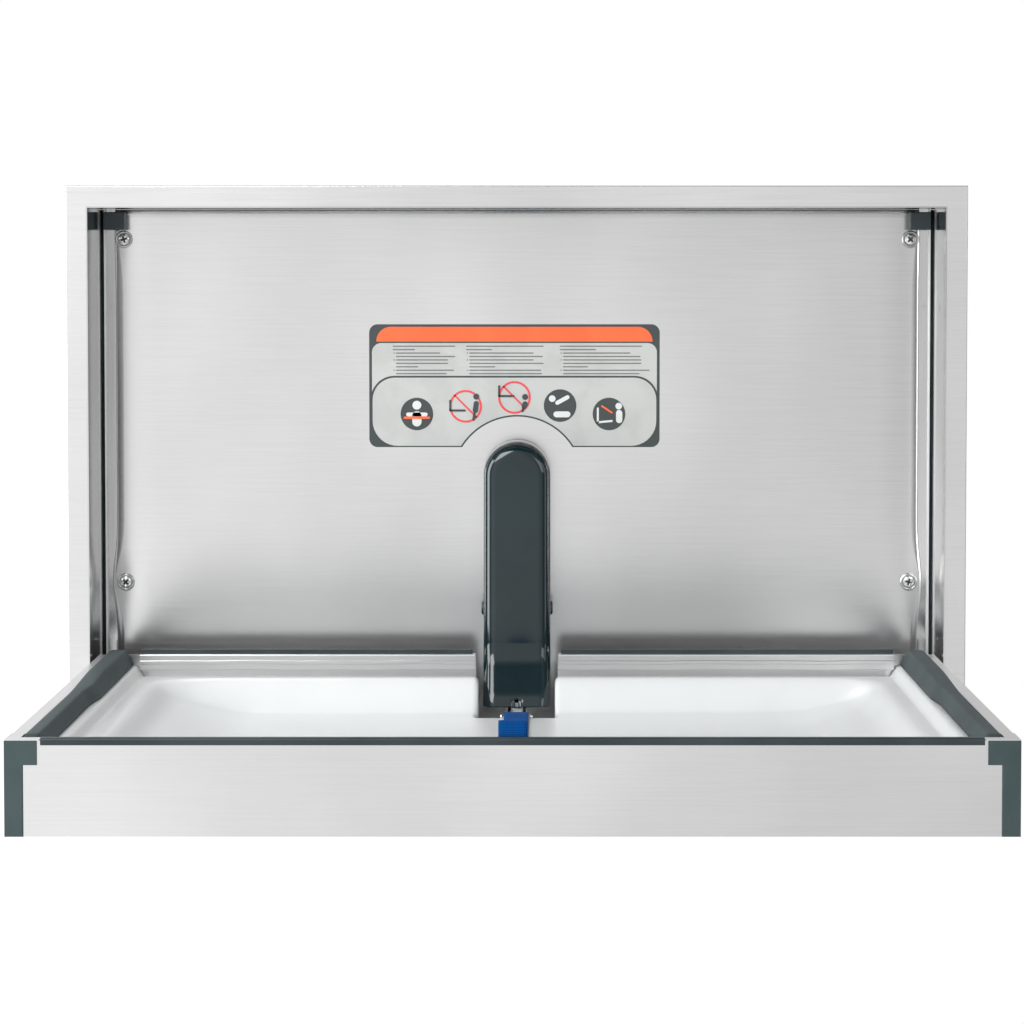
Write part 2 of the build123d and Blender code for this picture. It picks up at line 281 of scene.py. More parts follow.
def moulded(name, dark, light, smooth, dull, grain=900.0, grain_strength=0.10, coat=0.0, shine=0.5):
    """Moulded plastic or rubber with a fine moulding grain and faint cloudiness."""
    plastic = Surface(name)
    cloud = plastic.noise(14.0, detail=3.0)
    pores = plastic.noise(grain, detail=2.0)
    plastic.colour(plastic.ramp(cloud, [(0.3, dark), (0.7, light)]))
    plastic.roughness(cloud, smooth, dull)
    plastic.bump(pores, grain_strength, 0.0002)
    plastic.set(Coat_Weight=coat, Coat_Roughness=0.08, Specular_IOR_Level=shine)
    return plastic.material


def printed(name, colour, speck=0.04):
    """Printed film on the information plate."""
    film = Surface(name)
    fleck = film.noise(700.0, detail=3.0)
    worn = film.noise(35.0, detail=4.0)
    darker = tuple(c * (1 - speck * 2) for c in colour)
    film.colour(film.ramp(worn, [(0.35, darker), (0.6, colour)]))
    film.roughness(worn, 0.38, 0.52)
    film.bump(fleck, 0.05, 0.0001)
    return film.material


def webbing():
    """Plain-woven polyester webbing; the weave follows the strap's own length."""
    cloth = Surface("blue webbing")
    coords = cloth.nodes.new("ShaderNodeTexCoord").outputs["UV"]
    ribs = cloth.nodes.new("ShaderNodeTexWave")
    ribs.bands_direction = "Y"
    ribs.inputs["Scale"].default_value = 190.0
    ribs.inputs["Distortion"].default_value = 0.6
    cloth.links.new(coords, ribs.inputs["Vector"])
    cords = cloth.nodes.new("ShaderNodeTexWave")
    cords.bands_direction = "X"
    cords.inputs["Scale"].default_value = 150.0
    cords.inputs["Distortion"].default_value = 0.4
    cloth.links.new(coords, cords.inputs["Vector"])
    fuzz = cloth.noise(1500.0, detail=3.0)
    tone = cloth.ramp(ribs.outputs["Fac"], [(0.1, (0.000, 0.046, 0.19)), (0.8, (0.000, 0.084, 0.32))])
    shade = cloth.ramp(cords.outputs["Fac"], [(0.1, grey(0.82)), (0.7, grey(1.0))])
    cloth.colour(cloth.multiply(tone, shade))
    cloth.roughness(fuzz, 0.48, 0.70)
    cloth.bump(ribs.outputs["Fac"], 0.35, 0.0004)
    cloth.bump(cords.outputs["Fac"], 0.25, 0.0003)
    cloth.bump(fuzz, 0.12, 0.0002)
    cloth.set(Sheen_Weight=0.05, Sheen_Roughness=0.4, Specular_IOR_Level=0.06)
    return cloth.material


STEEL_WIDE = brushed_steel("brushed steel, grain across", (0.015, 1.0, 1.0), 0.72, 0.83)
STEEL_BACK = brushed_steel("brushed steel, back sheet", (0.015, 1.0, 1.0), 0.72, 0.84, 0.18, 0.26)
STEEL_BOX = brushed_steel("brushed steel, box walls", (1.0, 1.0, 0.015), 0.60, 0.74, 0.07, 0.13)
CHROME = polished_steel()
# A lighter copy of the brushed steel for the back sheet's corner lips: painted highlight.
LIP_HIGHLIGHT = brushed_steel("folded steel lip", (1.0, 1.0, 0.015), 0.92, 0.98, 0.40, 0.55)
WASHER = brushed_steel("turned washer steel", (1.0, 1.0, 1.0), 0.52, 0.66, 0.16, 0.28)
# Near-black for the screws' cross recesses: painted shade, not the screws' own steel.
RECESS_SHADE = moulded("screw recess shade", (0.020, 0.021, 0.022), (0.045, 0.046, 0.048), 0.45, 0.60)
ZINC = zinc_steel()
RUBBER = moulded("dark rubber", (0.018, 0.030, 0.036), (0.034, 0.050, 0.058), 0.34, 0.48, 500.0, 0.25)
RAIL = moulded("grey rail", (0.040, 0.056, 0.060), (0.060, 0.082, 0.086),
               0.50, 0.62, 600.0, 0.20, shine=0.22)
GUARD = moulded("guard plastic", (0.034, 0.060, 0.064), (0.054, 0.086, 0.090), 0.34, 0.46, 450.0, 0.20)
GLOSS = moulded("gloss plastic", (0.002, 0.012, 0.016), (0.004, 0.018, 0.022), 0.08, 0.12, 350.0, 0.02, 0.35)
LINER = moulded("liner plastic", (0.76, 0.785, 0.79), (0.78, 0.81, 0.805), 0.27, 0.30, 420.0, 0.02, 0.1)
NYLON = moulded("nylon", (0.66, 0.66, 0.61), (0.80, 0.80, 0.75), 0.40, 0.52)
PAINT = moulded("strut paint", (0.012, 0.012, 0.013), (0.030, 0.030, 0.032), 0.25, 0.40, 700.0, 0.12)
BLUE = webbing()
PRINT_DARK = printed("print, dark", (0.050, 0.060, 0.062))
PRINT_PALE = printed("print, pale", (0.520, 0.535, 0.520))
PRINT_ORANGE = printed("print, orange", (0.900, 0.150, 0.045))
PRINT_RED = printed("print, red", (0.800, 0.075, 0.080))
PRINT_GREY = printed("print, grey", (0.180, 0.185, 0.185))
PRINT_WHITE = printed("print, white", (0.700, 0.720, 0.700))

CAD_MATERIALS = {
    STEEL_WIDE: ["trim_flange", "bed_shell", "rim_corner_caps"],
    STEEL_BOX: ["recess_box"],
    CHROME: ["strap_loop", "strut_rod"],
    ZINC: ["strut_bracket", "strut_pin", "hinge_pins", "retaining_rings", "strap_anchor",
           "hinge_plates", "bed_stiffeners", "bed_bracket", "bracket_pin"],
    RUBBER: ["corner_bumpers", "rest_pads", "front_edge_trim", "rear_seals"],
    GUARD: ["corner_guards", "guard_screws"],
    GLOSS: ["cover_screws"],
    NYLON: ["hinge_bushes"],
    PAINT: ["strut_cylinder"],
    PRINT_DARK: ["information_plate"],
}


def finish_cad_nodes():
    for material, names in CAD_MATERIALS.items():
        for name in names:
            mesh = NODES[name].data
            mesh.materials.clear()
            mesh.materials.append(material)


# ---- wall frame -----------------------------------------------------------------
def back_panel():
    """The inner back sheet, its side edges curling back and pulled wider at the screws."""
    face, back = panel_low.y, panel_high.y - 0.0012
    edge = panel_high.x - 0.0025
    screws = [washer_low.z + WASHER_RADIUS, washer_high.z - WASHER_RADIUS]
    heights = between(panel_low.z, panel_high.z + 0.0017, 111)
    curl = [(0.0, 0.0), (0.12, 0.25), (0.35, 0.55), (0.62, 0.80), (0.85, 0.95), (1.0, 1.0)]
    middle = between(-1.0, 1.0, 25)
    verts = []
    for z in heights:
        pull = math.exp(-((z - screws[0]) / 0.034) ** 2)
        top_pull = math.exp(-((z - screws[1]) / 0.030) ** 2)
        side = edge + 0.0050 * pull + 0.0010 * top_pull
        strip = 0.0085 - 0.0052 * pull - 0.0030 * top_pull
        fold = smooth_step((z - panel_high.z) / 0.0017) * 0.0012
        row = [(-side + strip * a, back - (back - face) * b) for a, b in curl[:-1]]
        row += [(m * (side - strip), face) for m in middle]
        row += [(side - strip * a, back - (back - face) * b) for a, b in reversed(curl[:-1])]
        verts += [(x, y + fold, z) for x, y in row]
    columns = len(verts) // len(heights)
    panel = piece("back_sheet", verts, grid_faces(len(heights), columns), STEEL_BACK, "wall_frame",
                  replaces=["back_panel"])
    face_the_room(panel)
    return thicken(panel, 0.0011)


def upright_strip(name, outline, low, high, material):
    """Carries an (X, Y) outline up the wall frame from one height to another."""
    heights, count = between(low, high, 24), len(outline)
    verts = [(x, y, z) for z in heights for x, y in outline]
    faces = ring_faces(len(heights), count, closed_first=True, closed_last=True)
    return piece(name, verts, faces, material, "wall_frame", smooth=False)


def box_corners():
    """In the box's back corners: a bead of dark sealant, its near-black partly painted shade along the
    corner, beside the back sheet's lip, whose lighter steel is a painted highlight.
    """
    wall, sheet = 0.4470, box_high.y - BOX_SHEET
    low, high = panel_low.z - 0.0015, panel_high.z + 0.0015
    for sign, side in ((-1, "left"), (1, "right")):
        bead = [(sign * x, y) for x, y in
                ((wall, sheet), (wall, sheet - 0.0030), (wall - 0.0006, sheet - 0.0022),
                 (wall - 0.0014, sheet - 0.0010), (wall - 0.0019, sheet))]
        lip = [(sign * x, y) for x, y in
               ((wall - 0.0021, sheet), (wall - 0.0021, sheet - 0.0040), (wall - 0.0024, sheet - 0.0044),
                (wall - 0.0041, sheet - 0.0044), (wall - 0.0044, sheet - 0.0040), (wall - 0.0044, sheet))]
        # The bead's near-black is partly sealant and partly painted shade; the lip's lighter steel is a
        # painted highlight.
        upright_strip("corner_sealant_and_shade_" + side, bead, low, high, RUBBER)
        upright_strip("corner_lip_highlight_" + side, lip, low, high, LIP_HIGHLIGHT)


def lathe(profile, sides, place):
    """Rings of points round a Y axis through place; profile is (radius, distance towards the room)."""
    verts = []
    for radius, out in profile:
        for i in range(sides):
            angle = 2 * math.pi * i / sides
            verts.append((place[0] + radius * math.cos(angle), place[1] - out,
                          place[2] + radius * math.sin(angle)))
    return verts


def panel_fixings():
    """Cup washers with rolled lips, and cross-head screws whose threads come out behind the box."""
    face = panel_low.y
    across = washer_high.x - WASHER_RADIUS
    heights = [washer_low.z + WASHER_RADIUS, washer_high.z - WASHER_RADIUS]
    cup = [(0.0026, 0.0004), (0.0056, 0.0004), (0.0060, 0.0002), (0.0064, 0.0003), (0.0069, 0.0012),
           (0.0076, 0.0017), (0.0083, 0.0016), (0.0090, 0.0011), (0.0094, 0.0004), (0.0095, 0.0)]
    number = 0
    for x in (-across, across):
        for z in heights:
            number += 1
            first = number == 1
            piece("cup_washer_%d" % number, lathe(cup, 48, (x, face, z)), ring_faces(len(cup), 48), WASHER,
                  "wall_frame", replaces=["cup_washers"] if first else [])
            screw(number, (x, face, z), 12 + 31 * number)


def screw(number, place, turn):
    """One screw: a domed head with a cross recess, a plain neck, a thread and a point."""
    sides, head_radius, head_top = 96, 0.0057, 0.0032
    arm_half, arm_reach, recess_depth = 0.00105, 0.0036, 0.0016
    rings = between(0.0002, head_radius, 30)
    verts = []
    for radius in rings:
        for i in range(sides):
            angle = 2 * math.pi * i / sides
            local = angle + math.radians(turn)
            u, v = abs(radius * math.cos(local)), abs(radius * math.sin(local))
            dome = head_top - 0.0011 * (radius / head_radius) ** 3
            level_arm = min((arm_half - v) / 0.0002, (arm_reach - u) / 0.0005)
            upright_arm = min((arm_half - u) / 0.0002, (arm_reach - v) / 0.0005)
            recess = recess_depth * smooth_step(max(level_arm, upright_arm) + 0.5)
            verts.append((place[0] + radius * math.cos(angle), place[1] - dome + recess,
                          place[2] + radius * math.sin(angle)))
    neck = [(head_radius, 0.0016), (head_radius * 0.97, 0.0004), (0.0024, 0.0003), (0.0024, -0.0056)]
    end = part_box("wall_screws")[1].y - panel_low.y
    pitch, level = 0.0016, -0.0060
    while level > -(end - 0.006):
        neck += [(0.0021, level), (0.0015, level - pitch / 2)]
        level -= pitch
    neck += [(0.0014, level), (0.0002, -end)]
    verts += lathe(neck, sides, place)
    total = len(rings) + len(neck)
    faces = ring_faces(total, sides, closed_first=True, closed_last=True)
    obj = piece("wall_screw_%d" % number, verts, faces, CHROME, "wall_frame",
                replaces=["wall_screws"] if number == 1 else [])
    # The cross recess takes the near-black material instead of chrome: painted shade in the recess.
    obj.data.materials.append(RECESS_SHADE)
    for polygon in obj.data.polygons:
        ring = polygon.vertices[0] // sides
        if ring < len(rings) - 6 and polygon.center.y > place[1] - head_top + 0.0011 + 0.0004:
            polygon.material_index = 1


def face_the_room(obj):
    """Turns an open sheet's normals towards the room."""
    if sum(p.normal.y * p.area for p in obj.data.polygons) > 0:
        obj.data.flip_normals()


def strut_cover():
    """The glossy arched cover, from nested arches that roll over into its sides."""
    half = cover_high.x
    top, low = cover_high.z, cover_low.z
    centre = top - half
    depth_back = cover_high.y
    bevel = 0.0120
    top_bevel = 0.0165
    profile = [(low, -0.002), (low + 0.003, -0.002), (low + 0.052, 0.030), (top, 0.0436)]

    def front(z):
        def plain(level):
            for (z0, y0), (z1, y1) in zip(profile, profile[1:]):
                if level <= z1:
                    return y0 + (y1 - y0) * max(0.0, level - z0) / (z1 - z0)
            return profile[-1][1]
        spread = between(-0.010, 0.010, 11)
        return sum(plain(min(max(z + s, low), top)) for s in spread) / len(spread)

    def roll(inset, z):
        """How far the edge has rolled back; wider round the top of the arch."""
        lift = min(max((z - centre) / half, 0.0), 1.0)
        width = bevel + (top_bevel - bevel) * lift ** 2
        rest = max(width - inset, 0.0)
        return width - math.sqrt(width ** 2 - rest ** 2)

    insets = [0.0, 0.0003, 0.0009, 0.0018, 0.003, 0.0045, 0.0063, 0.0083, 0.0105, 0.012, 0.014, 0.0162,
              0.021, 0.028, half - 0.002, half - 0.0002]
    slot_top = low + 0.008
    levels = [low, low + 0.001, low + 0.004] + between(slot_top, low + 0.076, 40)
    levels += between(low + 0.084, centre, 20)
    turns = between(180, 0, 33)[1:-1]
    rows = []
    for inset in insets:
        radius = half - inset
        outline = [(-radius, z) for z in levels]
        outline += arc(0.0, centre, radius, turns[0], turns[-1], len(turns))
        outline += [(radius, z) for z in reversed(levels)]
        rows.append([(x, front(z) + roll(inset, z), z) for x, z in outline])
    sides = []
    for step in (1.0, 0.75, 0.5, 0.25):
        sides.append([(x, y + (depth_back - y) * step, z) for x, y, z in rows[0]])
    rows = sides + rows
    columns = len(rows[0])
    slot_cells = 3

    def kept(row, column):
        near_end = column < slot_cells or column >= columns - 1 - slot_cells
        return not (row >= len(rows) - 2 and near_end)

    faces = grid_faces(len(rows), columns, kept)
    last = (len(rows) - 1) * columns
    for column in range(slot_cells, columns // 2):
        other = columns - 1 - column
        if other - 1 > column:
            faces.append((last + column, last + column + 1, last + other - 1, last + other))
    verts = [point for row in rows for point in row]
    cover = piece("cover_shell", verts, faces, GLOSS, "wall_frame",
                  replaces=["strut_cover"])
    face_the_room(cover)
    return thicken(cover, 0.0022)


def information_plate():
    """Generic bands, rows and round signs on the plate, with no lettering."""
    face = plate_low.y
    layer = 0.0002
    left, right, top, bottom = plate_low.x, plate_high.x, plate_high.z, plate_low.z
    edge = 0.0030
    header_high = 0.0160
    header_top = top - 0.0027
    header = rounded(left + 0.0077, right - 0.0077, header_top - header_high, header_top,
                     header_high * 0.98, 0.0004)
    plates("plate_header", [header], face - layer, layer, PRINT_ORANGE)
    split = top - 0.0575
    upper_top = header_top - header_high - 0.0015
    upper = rounded(left + edge, right - edge, split - 0.022, upper_top, 0.010, 0.0005)
    plates("plate_upper_field", [upper], face - layer * 0.8, layer * 0.8, PRINT_PALE)
    cut_radius, cut_z = 0.0700, bottom - 0.037
    frame_ring = rounded(left + 0.0016, right - 0.0016, bottom + 0.0004, split + 0.0020, 0.0255, 0.0290)
    lower = rounded(left + edge + 0.0006, right - edge - 0.0006, bottom + 0.0014, split, 0.0240, 0.0270)
    border = notched(frame_ring, cut_radius + 0.0002, cut_z)
    field = notched(lower, cut_radius + 0.0018, cut_z)
    plates("plate_lower_border", [border], face - layer, layer, PRINT_DARK)
    plates("plate_lower_field", [field], face - layer * 1.7, layer, PRINT_PALE)
    rows_of_print(left, upper_top, face - layer * 1.4)
    round_signs(left, top, face - layer * 2.6)


def notched(outline, radius, centre_z):
    """Cuts the round gap above the cover out of an outline that starts at its lower left."""
    lowest = min(z for x, z in outline)
    half = math.sqrt(radius ** 2 - (lowest - centre_z) ** 2)
    swing = math.degrees(math.atan2(lowest - centre_z, half))
    gap = arc(0.0, centre_z, radius, 180 - swing, swing, 24)
    first_right = next(i for i, (x, z) in enumerate(outline) if x > 0)
    return outline[:first_right] + gap + outline[first_right:]


def rows_of_print(left, top, front):
    """Plain bars that stand where small print would be."""
    columns = [(0.026, 0.096), (0.105, 0.195), (0.206, 0.305)]
    shares = [1.0, 0.42, 0.80, 0.95, 0.88, 0.92, 0.38, 0.97, 0.90]
    bars = []
    for number, (start, stop) in enumerate(columns):
        for row, share in enumerate(shares):
            z = top - 0.0034 - row * 0.0037
            begin = left + start + (0.0035 if row not in (0, 1) else 0.0)
            length = (stop - start) * (share - 0.04 * ((row + number) % 3)) - 0.004
            bars.append(capsule(begin, z, begin + length, z, 0.00065))
            if row in (2, 4, 7):
                bars.append(disc(left + start + 0.0008, z, 0.0007))
    plates("plate_rows", bars, front, 0.0002, PRINT_GREY)


def round_signs(left, top, front):
    """Five round signs: plain discs and barred rings with simple generic shapes."""
    deep = 0.0003
    discs = [(0.0513, 0.0967), (0.2057, 0.0876), (0.2584, 0.0967)]
    rings = [(0.1038, 0.0884), (0.1565, 0.0788)]
    radius = 0.0176
    backs, pale, marks, bands = [], [], [], []
    for number, (across, down) in enumerate(discs):
        x, z = left + across, top - down
        backs.append(disc(x, z, radius))
        if number == 0:
            pale += [disc(x, z + 0.0095, 0.0048), capsule(x, z - 0.002, x, z - 0.0085, 0.0050)]
            pale += [capsule(x - 0.0095, z - 0.0005, x + 0.0095, z - 0.0005, 0.0021)]
            bands.append(capsule(x - 0.0130, z - 0.0040, x + 0.0130, z - 0.0040, 0.0013))
        elif number == 1:
            pale += [disc(x - 0.0085, z + 0.0075, 0.0036)]
            pale += [capsule(x - 0.003, z + 0.003, x + 0.008, z + 0.009, 0.0022)]
            pale += [capsule(x - 0.004, z - 0.0095, x + 0.008, z - 0.0095, 0.0032)]
        else:
            pale += [capsule(x - 0.012, z + 0.006, x - 0.012, z - 0.009, 0.0011)]
            pale += [capsule(x - 0.012, z - 0.009, x + 0.003, z - 0.0075, 0.0011)]
            pale += [disc(x + 0.0105, z + 0.0085, 0.0036)]
            pale += [capsule(x + 0.011, z + 0.001, x + 0.011, z - 0.0065, 0.0034)]
            bands.append(capsule(x - 0.0075, z + 0.0085, x + 0.003, z + 0.0015, 0.0010))
    for number, (across, down) in enumerate(rings):
        x, z = left + across, top - down
        shelf = z - 0.0045 + 0.006 * number
        marks += [capsule(x - 0.0165, z + 0.006 * (1 + number), x - 0.0165, shelf, 0.0011)]
        marks += [capsule(x - 0.0165, shelf, x - 0.001, shelf, 0.0011)]
        side = 0.0115
        marks += [disc(x + side, z + 0.0105 - 0.010 * number, 0.0032)]
        chest = z + 0.003 - 0.010 * number
        waist = z - 0.0045 - 0.005 * number
        knee = z - 0.008 - 0.004 * number
        marks += [capsule(x + side, chest, x + side - 0.001, waist, 0.0028)]
        marks += [capsule(x + side - 0.002, knee, x + side - 0.003, z - 0.0145, 0.0013)]
    plates("plate_discs", backs, front, deep, PRINT_DARK)
    plates("plate_pale_shapes", pale, front - 0.0002, deep, PRINT_WHITE)
    plates("plate_marks", marks, front - 0.0004, deep, PRINT_DARK)
    plates("plate_bands", bands, front - 0.0005, deep, PRINT_ORANGE)
    barred_rings([(left + a, top - d) for a, d in rings], radius, front, deep)


def barred_rings(centres, radius, front, deep):
    width = 0.0022
    outlines = []
    for x, z in centres:
        outer = arc(x, z, radius, 90, 449, 48)
        inner = arc(x, z, radius - width, 449, 90, 48)
        outlines.append(outer + inner)
        reach = (radius - width * 0.6) * math.sqrt(0.5)
        outlines.append(capsule(x - reach, z + reach, x + reach, z - reach, width * 0.42))
    plates("plate_rings", outlines, front - 0.0001, deep, PRINT_RED)


# ---- bed ------------------------------------------------------------------------
LINER_SHEET = 0.0025
TUB_FLOOR = liner_high.z - 0.040
WELL_HALF = 0.040
WELL_FRONT = -0.054


def liner_height(x, y):
    """Height of the liner's top face: a flat rim, a rolled step and a long shallow bowl."""
    across, rear = abs(x), liner_high.y
    step = smooth_step((0.4035 - across) / 0.0085)
    step *= smooth_step((y - liner_low.y - 0.0100) / 0.0080)
    gutter = 0.0035 * smooth_step((y - (rear - 0.016)) / 0.006) * smooth_step((0.400 - across) / 0.006)
    bead = math.exp(-((across - 0.4075) / 0.0028) ** 2) * 0.0006
    corner = 0.060
    inset_x = max(0.0, across - (0.3900 - corner))
    inset_y = max(0.0, abs(y + 0.236) - (0.2440 - corner))
    inside = corner - math.hypot(inset_x, inset_y)
    ends = smooth_step((0.3860 - across) / 0.1150)
    ends = 0.42 * smooth_step((0.3860 - across) / 0.026) + 0.58 * ends
    bowl = smooth_step(inside / 0.042) * ends
    dish = 0.0022 * (across / 0.39) ** 2
    depth = liner_high.z - TUB_FLOOR
    return liner_high.z + bead - gutter - 0.0085 * step - (depth - 0.0085 - dish) * bowl


def rolled_height(x, y):
    """The liner's height with its edge rolled down into the well round the cover."""
    roll = 0.0060
    gap = math.hypot(max(0.0, abs(x) - WELL_HALF), max(0.0, WELL_FRONT - y))
    fall = 0.0
    if gap < roll:
        fall = roll - math.sqrt(max(0.0, roll ** 2 - (roll - gap) ** 2))
    return liner_height(x, y) - fall


def bed_liner():
    """The liner's moulded sheet: a grid laid over the bed with the cover's well cut out."""
    near_well = [0.0, 0.0003, 0.0009, 0.0018, 0.003, 0.0045, 0.0062, 0.009, 0.013]
    right = between(0.0, WELL_HALF, 8)[:-1] + [WELL_HALF + g for g in near_well]
    right += between(WELL_HALF + 0.018, 0.375, 64) + between(0.379, liner_high.x, 26)
    xs = [-x for x in reversed(right[1:])] + right
    ys = between(liner_low.y, liner_low.y + 0.060, 22)[:-1] + between(liner_low.y + 0.060, -0.075, 56)[:-1]
    ys += [WELL_FRONT - g for g in reversed(near_well)]
    ys += between(WELL_FRONT + 0.005, liner_high.y, 34)
    verts = [(x, y, rolled_height(x, y)) for y in ys for x in xs]
    tiny = 1e-6

    def kept(row, column):
        x, y = (xs[column] + xs[column + 1]) / 2, (ys[row] + ys[row + 1]) / 2
        return not (abs(x) < WELL_HALF - tiny and y > WELL_FRONT + tiny)

    faces = grid_faces(len(ys), len(xs), kept)
    add_well_walls(verts, faces, xs, ys)
    liner = piece("liner_sheet", verts, faces, LINER, "bed", replaces=["bed_liner"])
    drop_loose(liner)
    if sum(p.normal.z * p.area for p in liner.data.polygons) < 0:
        liner.data.flip_normals()
    return thicken(liner, LINER_SHEET)


def add_well_walls(verts, faces, xs, ys):
    """Walls that hang down round the well, on its left, front and right."""
    columns = len(xs)
    left = min(range(columns), key=lambda i: abs(xs[i] + WELL_HALF))
    right = min(range(columns), key=lambda i: abs(xs[i] - WELL_HALF))
    front = min(range(len(ys)), key=lambda i: abs(ys[i] - WELL_FRONT))
    path = [row * columns + left for row in range(len(ys) - 1, front, -1)]
    path += [front * columns + i for i in range(left, right + 1)]
    path += [row * columns + right for row in range(front + 1, len(ys))]
    foot = liner_low.z
    above = path
    for share in (0.12, 0.5, 1.0):
        below = []
        for top_index in path:
            x, y, z = verts[top_index]
            verts.append((x, y, z + (foot - z) * share))
            below.append(len(verts) - 1)
        for i in range(len(path) - 1):
            faces.append((above[i], above[i + 1], below[i + 1], below[i]))
        above = below


def drop_loose(obj):
    work = bmesh.new()
    work.from_mesh(obj.data)
    bmesh.ops.delete(work, geom=[v for v in work.verts if not v.link_faces], context="VERTS")
    bmesh.ops.recalc_face_normals(work, faces=work.faces)
    work.to_mesh(obj.data)
    work.free()


def side_rails():
    """Soft dark rails along the bed's sides, taller and round-nosed at the rear."""
    base = rail_low.z
    inner, outer = 0.4115, rail_high.x
    stations = 60
    for sign, side in ((-1, "left"), (1, "right")):
        verts = []
        for number in range(stations):
            share = number / (stations - 1)
            y = rail_low.y + (rail_high.y - rail_low.y) * share
            rise = 0.0140 + 0.0050 * smooth_step((y + 0.26) / 0.16)
            lean = 0.0045 * smooth_step((y + 0.24) / 0.05)
            nose = max(0.0, (y - (rail_high.y - 0.012)) / 0.012)
            tail = max(0.0, (rail_low.y + 0.006 - y) / 0.006)
            shrink = math.sqrt(max(0.0, 1 - max(nose, tail) ** 2))
            rise = rise * (0.35 + 0.65 * shrink)
            section = rail_section(inner - lean, outer, base, rise)
            verts += [(sign * x, y, z) for x, z in section]
        faces = ring_faces(stations, len(section), closed_first=True, closed_last=True)
        stand_for = ["side_rails"] if sign < 0 else []
        piece("rail_" + side, verts, faces, RAIL, "bed", replaces=stand_for)


def rail_section(inner, outer, base, rise):
    """One rail's (X, Z) section: a sloping inner face and a rounded back."""
    shoulder = inner + 0.0065
    radius = min(0.0035, rise * 0.3)
    section = [(inner, base), (inner + 0.0004, base + rise * 0.30), (inner + 0.0028, base + rise * 0.62)]
    section += arc(shoulder + radius * 0.5, base + rise - radius, radius, 150, 90, 5)
    section += arc(outer - radius, base + rise - radius, radius, 90, 0, 6)
    section += [(outer, base + rise * 0.4), (outer, base)]
    return section


def rear_trims():
    """Folded steel strips along the bed's rear, each with a fine step and a hem below."""
    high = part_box("rear_trims")[1]
    front, back, top = high.y - 0.0115, high.y, high.z
    hem = liner_high.z - 0.0030
    section = [(back, bed_high.z), (back, top), (front + 0.0012, top), (front + 0.0003, top - 0.0004),
               (front, top - 0.0014), (front, top - 0.0062), (front - 0.0012, top - 0.0068),
               (front - 0.0012, top - 0.0098), (front - 0.0002, top - 0.0104), (front - 0.0002, hem + 0.0008),
               (front + 0.0004, hem), (front + 0.0014, hem + 0.0004), (front + 0.0014, bed_high.z)]
    inner = WELL_HALF + 0.004
    stations = between(inner, high.x, 40)
    for sign, side in ((-1, "left"), (1, "right")):
        verts = []
        for x in stations:
            ripple = 0.00025 * math.sin(x * 31.0 + sign) + 0.0002 * math.sin(x * 73.0)
            verts += [(sign * x, y, z + (ripple if z < top - 0.004 else 0.0)) for y, z in section]
        faces = ring_faces(len(stations), len(section), closed_first=True, closed_last=True)
        piece("rear_trim_" + side, verts, faces, STEEL_WIDE, "bed", smooth=False,
              replaces=["rear_trims"] if sign < 0 else [])


def rounded_route(points, radii, step=0.0025):
    """Joins (Y, Z) points by straight runs with round corners, in short steps."""
    route = [Vector(points[0])]
    for before, corner, after, radius in zip(points, points[1:], points[2:], radii):
        corner = Vector(corner)
        back, ahead = (Vector(before) - corner).normalized(), (Vector(after) - corner).normalized()
        half_angle = back.angle(ahead) / 2
        reach = radius / math.tan(half_angle)
        start, stop = corner + back * reach, corner + ahead * reach
        centre = corner + (back + ahead).normalized() * (radius / math.sin(half_angle))
        turn = math.pi - 2 * half_angle
        count = max(3, int(radius * turn / step) + 2)
        first = start - centre
        last = stop - centre
        side = 1 if first.x * last.y - first.y * last.x > 0 else -1
        for share in between(0.0, 1.0, count):
            angle = side * turn * share
            spoke = Vector((first.x * math.cos(angle) - first.y * math.sin(angle),
                            first.x * math.sin(angle) + first.y * math.cos(angle)))
            route.append(centre + spoke)
    route.append(Vector(points[-1]))
    dense = [route[0]]
    for point in route[1:]:
        gap = (point - dense[-1]).length
        pieces = max(1, int(gap / (step * 2)))
        start = dense[-1]
        dense += [start.lerp(point, (i + 1) / pieces) for i in range(pieces)]
    return dense


def safety_strap():
    """Woven strap from the well, over its bar and up to the bed's front edge."""
    low, rim, over = TUB_FLOOR + STRAP_GAP, bed_high.z, loop_high.z + 0.0010
    points = [(WELL_FRONT + 0.005, bed_low.z + 0.012), (WELL_FRONT + 0.005, over),
              (WELL_FRONT - 0.011, over),
              (-0.096, low), (-0.280, low), (-0.464, rim + 0.010), (-0.484, rim + 0.014),
              (-0.494, rim + 0.004), (-0.4955, liner_high.z + 0.003)]
    route = rounded_route(points, [0.003, 0.012, 0.040, 0.060, 0.012, 0.007, 0.008])
    width, thick = 0.0254, 0.0015
    across = between(-1.0, 1.0, 13)
    section = [(a * width / 2, thick / 2 * (1 - 0.55 * a ** 8)) for a in across]
    section += [(a * width / 2, -thick / 2 * (1 - 0.55 * a ** 8)) for a in reversed(across)]
    verts, lengths = [], []
    travelled = 0.0
    for number, point in enumerate(route):
        before = route[max(number - 1, 0)]
        after = route[min(number + 1, len(route) - 1)]
        travelled += (point - before).length
        lengths.append(travelled)
        along = (after - before).normalized()
        normal = Vector((-along.y, along.x))
        verts += [(x, point.x + normal.x * t, point.y + normal.y * t) for x, t in section]
    faces = ring_faces(len(route), len(section), closed_first=True, closed_last=True)
    strap = piece("strap_webbing", verts, faces, BLUE, "bed", replaces=["safety_strap"])
    weave_map(strap, section, lengths)
    return strap


def weave_map(strap, section, lengths):
    """Lays the weave's map: across the strap and along its length, in metres."""
    layer = strap.data.uv_layers.new(name="weave")
    size = len(section)
    for corner in strap.data.loops:
        ring, place = divmod(corner.vertex_index, size)
        layer.data[corner.index].uv = (section[place][0], lengths[ring])


